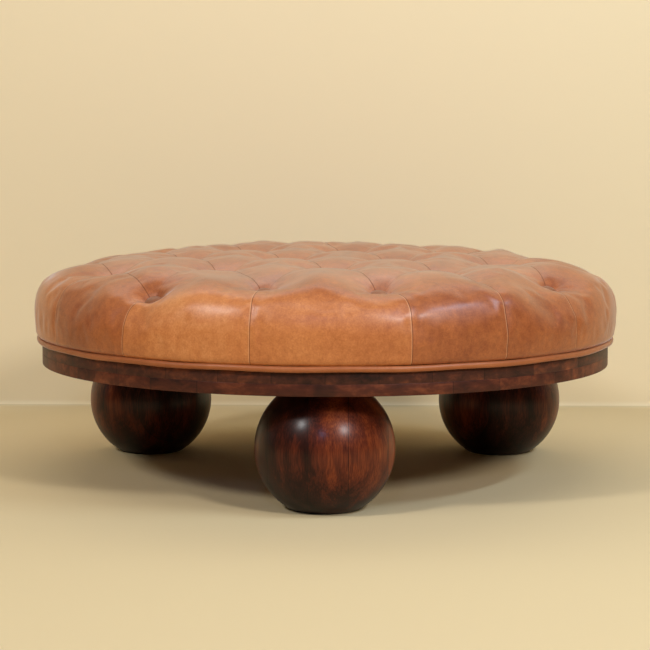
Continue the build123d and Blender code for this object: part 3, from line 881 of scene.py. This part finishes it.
# Gathers run out from each button and fade into the pillows
gather_fade = 1 - hide.rise(tuft_away, 0.02, 0.085)
gather_vector = hide.node("ShaderNodeCombineXYZ", {}, (tuft_angle * 2.6, tuft_away * 9.0, 0.0))
gathers = hide.noise(gather_vector, 2.0, 0.5)
hide.feed(
    colour=colour,
    roughness=0.40 + hide.mottle * 0.14 + hide.blotch * 0.06,
    coat=(1 - shoulder * 0.25)
    * (0.88 + hide.blotch * 0.3)
    * (1 - seam_crease_and_shade * 0.9)
    * (1 - pleat_crease_and_shade * 0.9),
    relief=hide.pebble * 0.00006
    + hide.mottle * 0.00012
    + gathers * gather_fade * 0.0042
    - seam_crease_and_shade * 0.0003
    + seam_lip_and_highlight * 0.0002
    - pleat_crease_and_shade * 0.0003,
)

# Down the neck, round under the deck and across, so that the cover is a closed form
neck_radius = 0.5577
hem_inner_radius = 0.5197
hem_height = 0.2661
bm = bmesh.new()
bm.from_mesh(shaped)
rim = [edge for edge in bm.edges if edge.is_boundary]
for reach, height in (
    (neck_radius, crease_height),
    (neck_radius, hem_height),
    (hem_inner_radius, hem_height),
):
    grown = bmesh.ops.extrude_edge_only(bm, edges=rim)["geom"]
    for item in grown:
        if isinstance(item, bmesh.types.BMVert):
            toward = Vector((item.co.x, item.co.y)).normalized() * reach
            item.co = (toward.x, toward.y, height)
    rim = [item for item in grown if isinstance(item, bmesh.types.BMEdge) and item.is_boundary]
bmesh.ops.holes_fill(bm, edges=rim, sides=0)
for face in bm.faces:
    face.smooth = True
bm.to_mesh(shaped)
bm.free()
shaped.materials.append(hide.material)
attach(cover, "root")
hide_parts("leather_cover")

# The buttons are plastic moulds in caps of the same leather, pulled down to the bottom of their
# tufts. A cap is cut round and gathered over its mould, so its face is a low smooth dome.
button_turns = 48
button_radius = 0.015
button_rim_height = 0.0026
button_dome_rise = 0.0064
button_dome_steps = 8
button_merge_distance = 0.00002
button_profile = [(0, 0.0), (0.0148, 0.0), (0.0152, 0.0012), (button_radius, button_rim_height)]
for step in range(1, button_dome_steps + 1):
    turned = step / button_dome_steps * math.pi / 2
    height = button_rim_height + button_dome_rise * math.sin(turned)
    button_profile.append((button_radius * math.cos(turned), height))
button_hide = leather("tan_hide_buttons")
button_depth = button_hide.blotch * 0.5 + button_hide.mottle * 0.3
button_tones = [(0.1, (0.1536, 0.0448, 0.0154)), (0.9, (0.4608, 0.192, 0.0896))]
button_hide.feed(
    colour=button_hide.ramp(button_depth, button_tones),
    roughness=0.38 + button_hide.mottle * 0.14,
    coat=0.1 + button_hide.blotch * 0.1,
    relief=button_hide.pebble * 0.00006 + button_hide.mottle * 0.0002,
)
bm = bmesh.new()
for place in buttons.values():
    profile = [bm.verts.new((reach, 0, height)) for reach, height in button_profile]
    edges = [bm.edges.new(pair) for pair in zip(profile, profile[1:])]
    bmesh.ops.spin(
        bm, geom=profile + edges, cent=(0, 0, 0), axis=(0, 0, 1),
        angle=math.tau, steps=button_turns, use_merge=True,
    )
    cap = [vert for vert in bm.verts if not vert.tag]
    _, _, lean, _, _ = outline(np.array([place.length]))
    seat = cushion_place(np.array([list(place)]), np.array([tuft_depth]))[0]
    tilt = Matrix.Rotation(float(lean[0]), 4, Vector((-place.y, place.x, 0)).normalized())
    bmesh.ops.transform(bm, matrix=Matrix.Translation(seat) @ tilt, verts=cap)
    for vert in cap:
        vert.tag = True
bmesh.ops.remove_doubles(bm, verts=bm.verts, dist=button_merge_distance)
hand_over("button_caps_gathered", bm, button_hide, "cover_leather", "button_caps")

# The wadding is a sheet of soft fibre over the foam. It lies close under the leather and rounds
# out the pillows between the tufts.
fibre = Finish("soft_fibre", {"Specular IOR Level": 0.1, "Sheen Weight": 0.5})
fluff = fibre.noise(fibre.place((160, 160, 160)), 5.0, 0.7)
fibre.feed(
    colour=fibre.mix(fluff, (0.8, 0.8, 0.77, 1), (0.92, 0.92, 0.9, 1)),
    roughness=0.9 + fluff * 0.05,
)
wadding_drop = 0.0035          # below the outside of the leather
wadding_thickness = 0.010
bm = bmesh.new()
bm.from_mesh(wadding_source)
bm.normal_update()
for vert in bm.verts:
    vert.co -= vert.normal * wadding_drop
bmesh.ops.recalc_face_normals(bm, faces=bm.faces)
bmesh.ops.solidify(bm, geom=list(bm.faces), thickness=wadding_thickness)
wadding = hand_over("wadding_sheet", bm, fibre, "polyester_wadding", "wadding")

# The foam core is a thick disc of upholstery foam on the deck. It is pitted where the buttons
# pull in.
foam = Finish("open_cell_foam", {"Specular IOR Level": 0.15})
cells = foam.noise(foam.place((700, 700, 700)), 2.0, 0.6)
foam.feed(
    colour=foam.mix(cells, (0.7, 0.62, 0.4, 1), (0.86, 0.8, 0.6, 1)),
    roughness=0.9 + cells * 0.05,
)
deck_top = 0.2856
foam_radius = 0.5555
foam_drop = 0.018              # below the outside of the leather
foam_pit_share = 0.9           # depth of a pit as a share of the tuft's
foam_clearance = 0.0005
bm = unrolled_disc(squares=48, ring_count=16, patch=0.36)
points = np.array([list(vert.co)[:2] for vert in bm.verts])
inner = cushion_place(points, tuft_drop(points) * foam_pit_share + foam_drop)
for vert, place in zip(bm.verts, inner):
    toward = Vector((place[0], place[1]))
    toward = toward.normalized() * min(toward.length, foam_radius)
    vert.co = (toward.x, toward.y, max(place[2], deck_top + foam_clearance))
bmesh.ops.holes_fill(bm, edges=[edge for edge in bm.edges if edge.is_boundary], sides=0)
foam_core = hand_over("foam_core_block", bm, foam, "foam", "foam_core")

# The welt is a strip of the same hide folded round a cord and nailed along the foot of the cover.
# It is sewn by hand, so it wavers a little between its fixings.
welt_radius = 0.00575
welt_overhang = 0.0105         # past the edge of the base
base_top = 0.2631
welt_circle = base_radius + welt_overhang - welt_radius
welt_height = base_top + welt_radius
welt_turns = 512
welt_sides = 20
sway_across = 0.0008
sway_up = 0.0006
welt_hide = leather("tan_hide_welt")
welt_depth = welt_hide.blotch * 0.45 + welt_hide.mottle * 0.25 + 0.11
welt_tones = [
    (0.0, (0.1792, 0.0461, 0.0122)),
    (0.5, (0.3968, 0.1229, 0.0384)),
    (1.0, (0.6144, 0.2432, 0.096)),
]
welt_hide.feed(
    colour=welt_hide.ramp(welt_depth, welt_tones),
    roughness=0.34 + welt_hide.mottle * 0.14,
    coat=0.15 + welt_hide.blotch * 0.1,
    relief=welt_hide.pebble * 0.00006 + welt_hide.mottle * 0.0003,
)
bm = bmesh.new()
ring = []
for side in range(welt_sides):
    turned = math.tau * side / welt_sides
    reach = welt_circle + welt_radius * math.cos(turned)
    ring.append(bm.verts.new((reach, 0, welt_height + welt_radius * math.sin(turned))))
edges = [bm.edges.new(pair) for pair in zip(ring, ring[1:] + ring[:1])]
bmesh.ops.spin(
    bm, geom=ring + edges, cent=(0, 0, 0), axis=(0, 0, 1),
    angle=math.tau, steps=welt_turns, use_merge=True,
)
for vert in bm.verts:
    around = math.atan2(vert.co.y, vert.co.x)
    sway = 0.6 * math.sin(11 * around + 1.1) + 0.35 * math.sin(23 * around + 0.4)
    sway += 0.3 * math.sin(41 * around)
    toward = Vector((vert.co.x, vert.co.y, 0)).normalized()
    vert.co += toward * (sway_across * sway)
    vert.co.z += sway_up * math.sin(17 * around + 2.0)
hand_over("welt_cover_piping", bm, welt_hide, "cover_leather", "welt_cover")

# A plain pale floor with a pale wall behind the table, joined by a small cove. The wall is clear
# from behind, so that it doesn't hide the table in a view from there.
matt = {"Specular IOR Level": 0.1, "Roughness": 0.9}
paper = Finish("pale_floor", {**matt, "Base Color": (0.70, 0.56, 0.325, 1)})
plaster = Finish("pale_wall", {**matt, "Base Color": (0.87, 0.72, 0.46, 1)})
clear = plaster.node("ShaderNodeBsdfTransparent", {}, {})
behind = plaster.node("ShaderNodeNewGeometry", {}, {}, "Backfacing")
solid = Number(plaster, plaster.shader.outputs["BSDF"])
shown = plaster.node("ShaderNodeMixShader", {}, (behind, solid, clear))
plaster.tree.links.new(shown.socket, plaster.tree.nodes["Material Output"].inputs["Surface"])
wall_place = 0.86
wall_height = 5.0
floor_front = -9.0
floor_side = 7.0
cove_radius = 0.015
cove_steps = 8
floor_faces = 5                # the floor and half the cove are paper, and the rest is plaster
bm = bmesh.new()
line = [(floor_front, 0.0), (wall_place - cove_radius, 0.0)]
for step in range(1, cove_steps + 1):
    turned = step / cove_steps * math.pi / 2
    deep = wall_place - cove_radius * (1 - math.sin(turned))
    line.append((deep, cove_radius * (1 - math.cos(turned))))
line.append((wall_place, wall_height))
rows = [
    [bm.verts.new((across, deep, height)) for deep, height in line]
    for across in (-floor_side, floor_side)
]
for near, far in zip(range(len(line) - 1), range(1, len(line))):
    face = bm.faces.new((rows[0][near], rows[1][near], rows[1][far], rows[0][far]))
    face.smooth = True
    face.material_index = int(near >= floor_faces)
mesh = bpy.data.meshes.new("floor")
bm.to_mesh(mesh)
bm.free()
floor = bpy.data.objects.new("floor", mesh)
bpy.context.scene.collection.objects.link(floor)
mesh.materials.append(paper.material)
mesh.materials.append(plaster.material)

# The sky lights little, so that the table keeps its shadow, and looks pale where it is seen.
sky_strength = 0.06
sky_seen = 0.7
world = bpy.data.worlds.new("studio")
bpy.context.scene.world = world
world.use_nodes = True
sky = world.node_tree.nodes["Background"]
sky.inputs["Color"].default_value = (1.0, 0.88, 0.68, 1)
seen = world.node_tree.nodes.new("ShaderNodeLightPath").outputs["Is Camera Ray"]
strength = world.node_tree.nodes.new("ShaderNodeMath")
strength.operation = "MULTIPLY_ADD"
strength.inputs[1].default_value = sky_seen
strength.inputs[2].default_value = sky_strength
world.node_tree.links.new(seen, strength.inputs[0])
world.node_tree.links.new(strength.outputs[0], sky.inputs["Strength"])

# Lamps, each with its place, size, power and colour. All of them face a point inside the table.
lamp_target = Vector((0, 0, 0.3))
lamps = (
    ("key_left", (-2.5, -2.6, 2.95), (0.55, 0.55), 62, (1.0, 0.98, 0.96)),
    ("key_right", (1.9, -3.0, 2.28), (0.55, 0.55), 60, (1.0, 0.97, 0.95)),
    ("window_right", (2.0, -1.3, 2.4), (1.2, 0.12), 30, (0.6, 0.78, 1.0)),
    ("window_front", (-0.27, -3.5, 1.9), (0.34, 0.3), 8, (0.4, 0.55, 1.0)),
    ("back_panel", (0.0, 0.7, 1.75), (2.4, 0.7), 7, (0.78, 0.88, 1.0)),
    ("side_panel_left", (-3.2, 0.4, 1.3), (1.6, 2.2), 2, (0.85, 0.92, 1.0)),
    ("side_panel_right", (3.2, 0.4, 1.3), (1.6, 2.2), 2, (0.85, 0.92, 1.0)),
    ("top_front", (0.0, -1.5, 3.2), (2.4, 1.2), 19, (1.0, 1.0, 1.0)),
)
for name, place, size, power, colour in lamps:
    lamp = bpy.data.lights.new(name, "AREA")
    lamp.shape = "RECTANGLE"
    lamp.size, lamp.size_y = size
    lamp.energy = power
    lamp.color = colour
    holder = bpy.data.objects.new(name, lamp)
    holder.location = place
    holder.rotation_euler = (lamp_target - Vector(place)).to_track_quat("-Z", "Y").to_euler()
    bpy.context.scene.collection.objects.link(holder)

# The camera stands where the fit to the photo puts it
camera_pitch = 0.10226
camera_roll = -0.00278
camera_yaw = 0.00039
camera = bpy.data.cameras.new("camera")
camera.sensor_width = 36.0
camera.lens = 111.37
viewer = bpy.data.objects.new("camera", camera)
viewer.location = (0.0, -3.9997, 0.6984)
viewer.rotation_euler = (math.pi / 2 - camera_pitch, camera_roll, camera_yaw)
bpy.context.scene.collection.objects.link(viewer)
bpy.context.scene.camera = viewer
bpy.context.scene.view_settings.view_transform = "Standard"
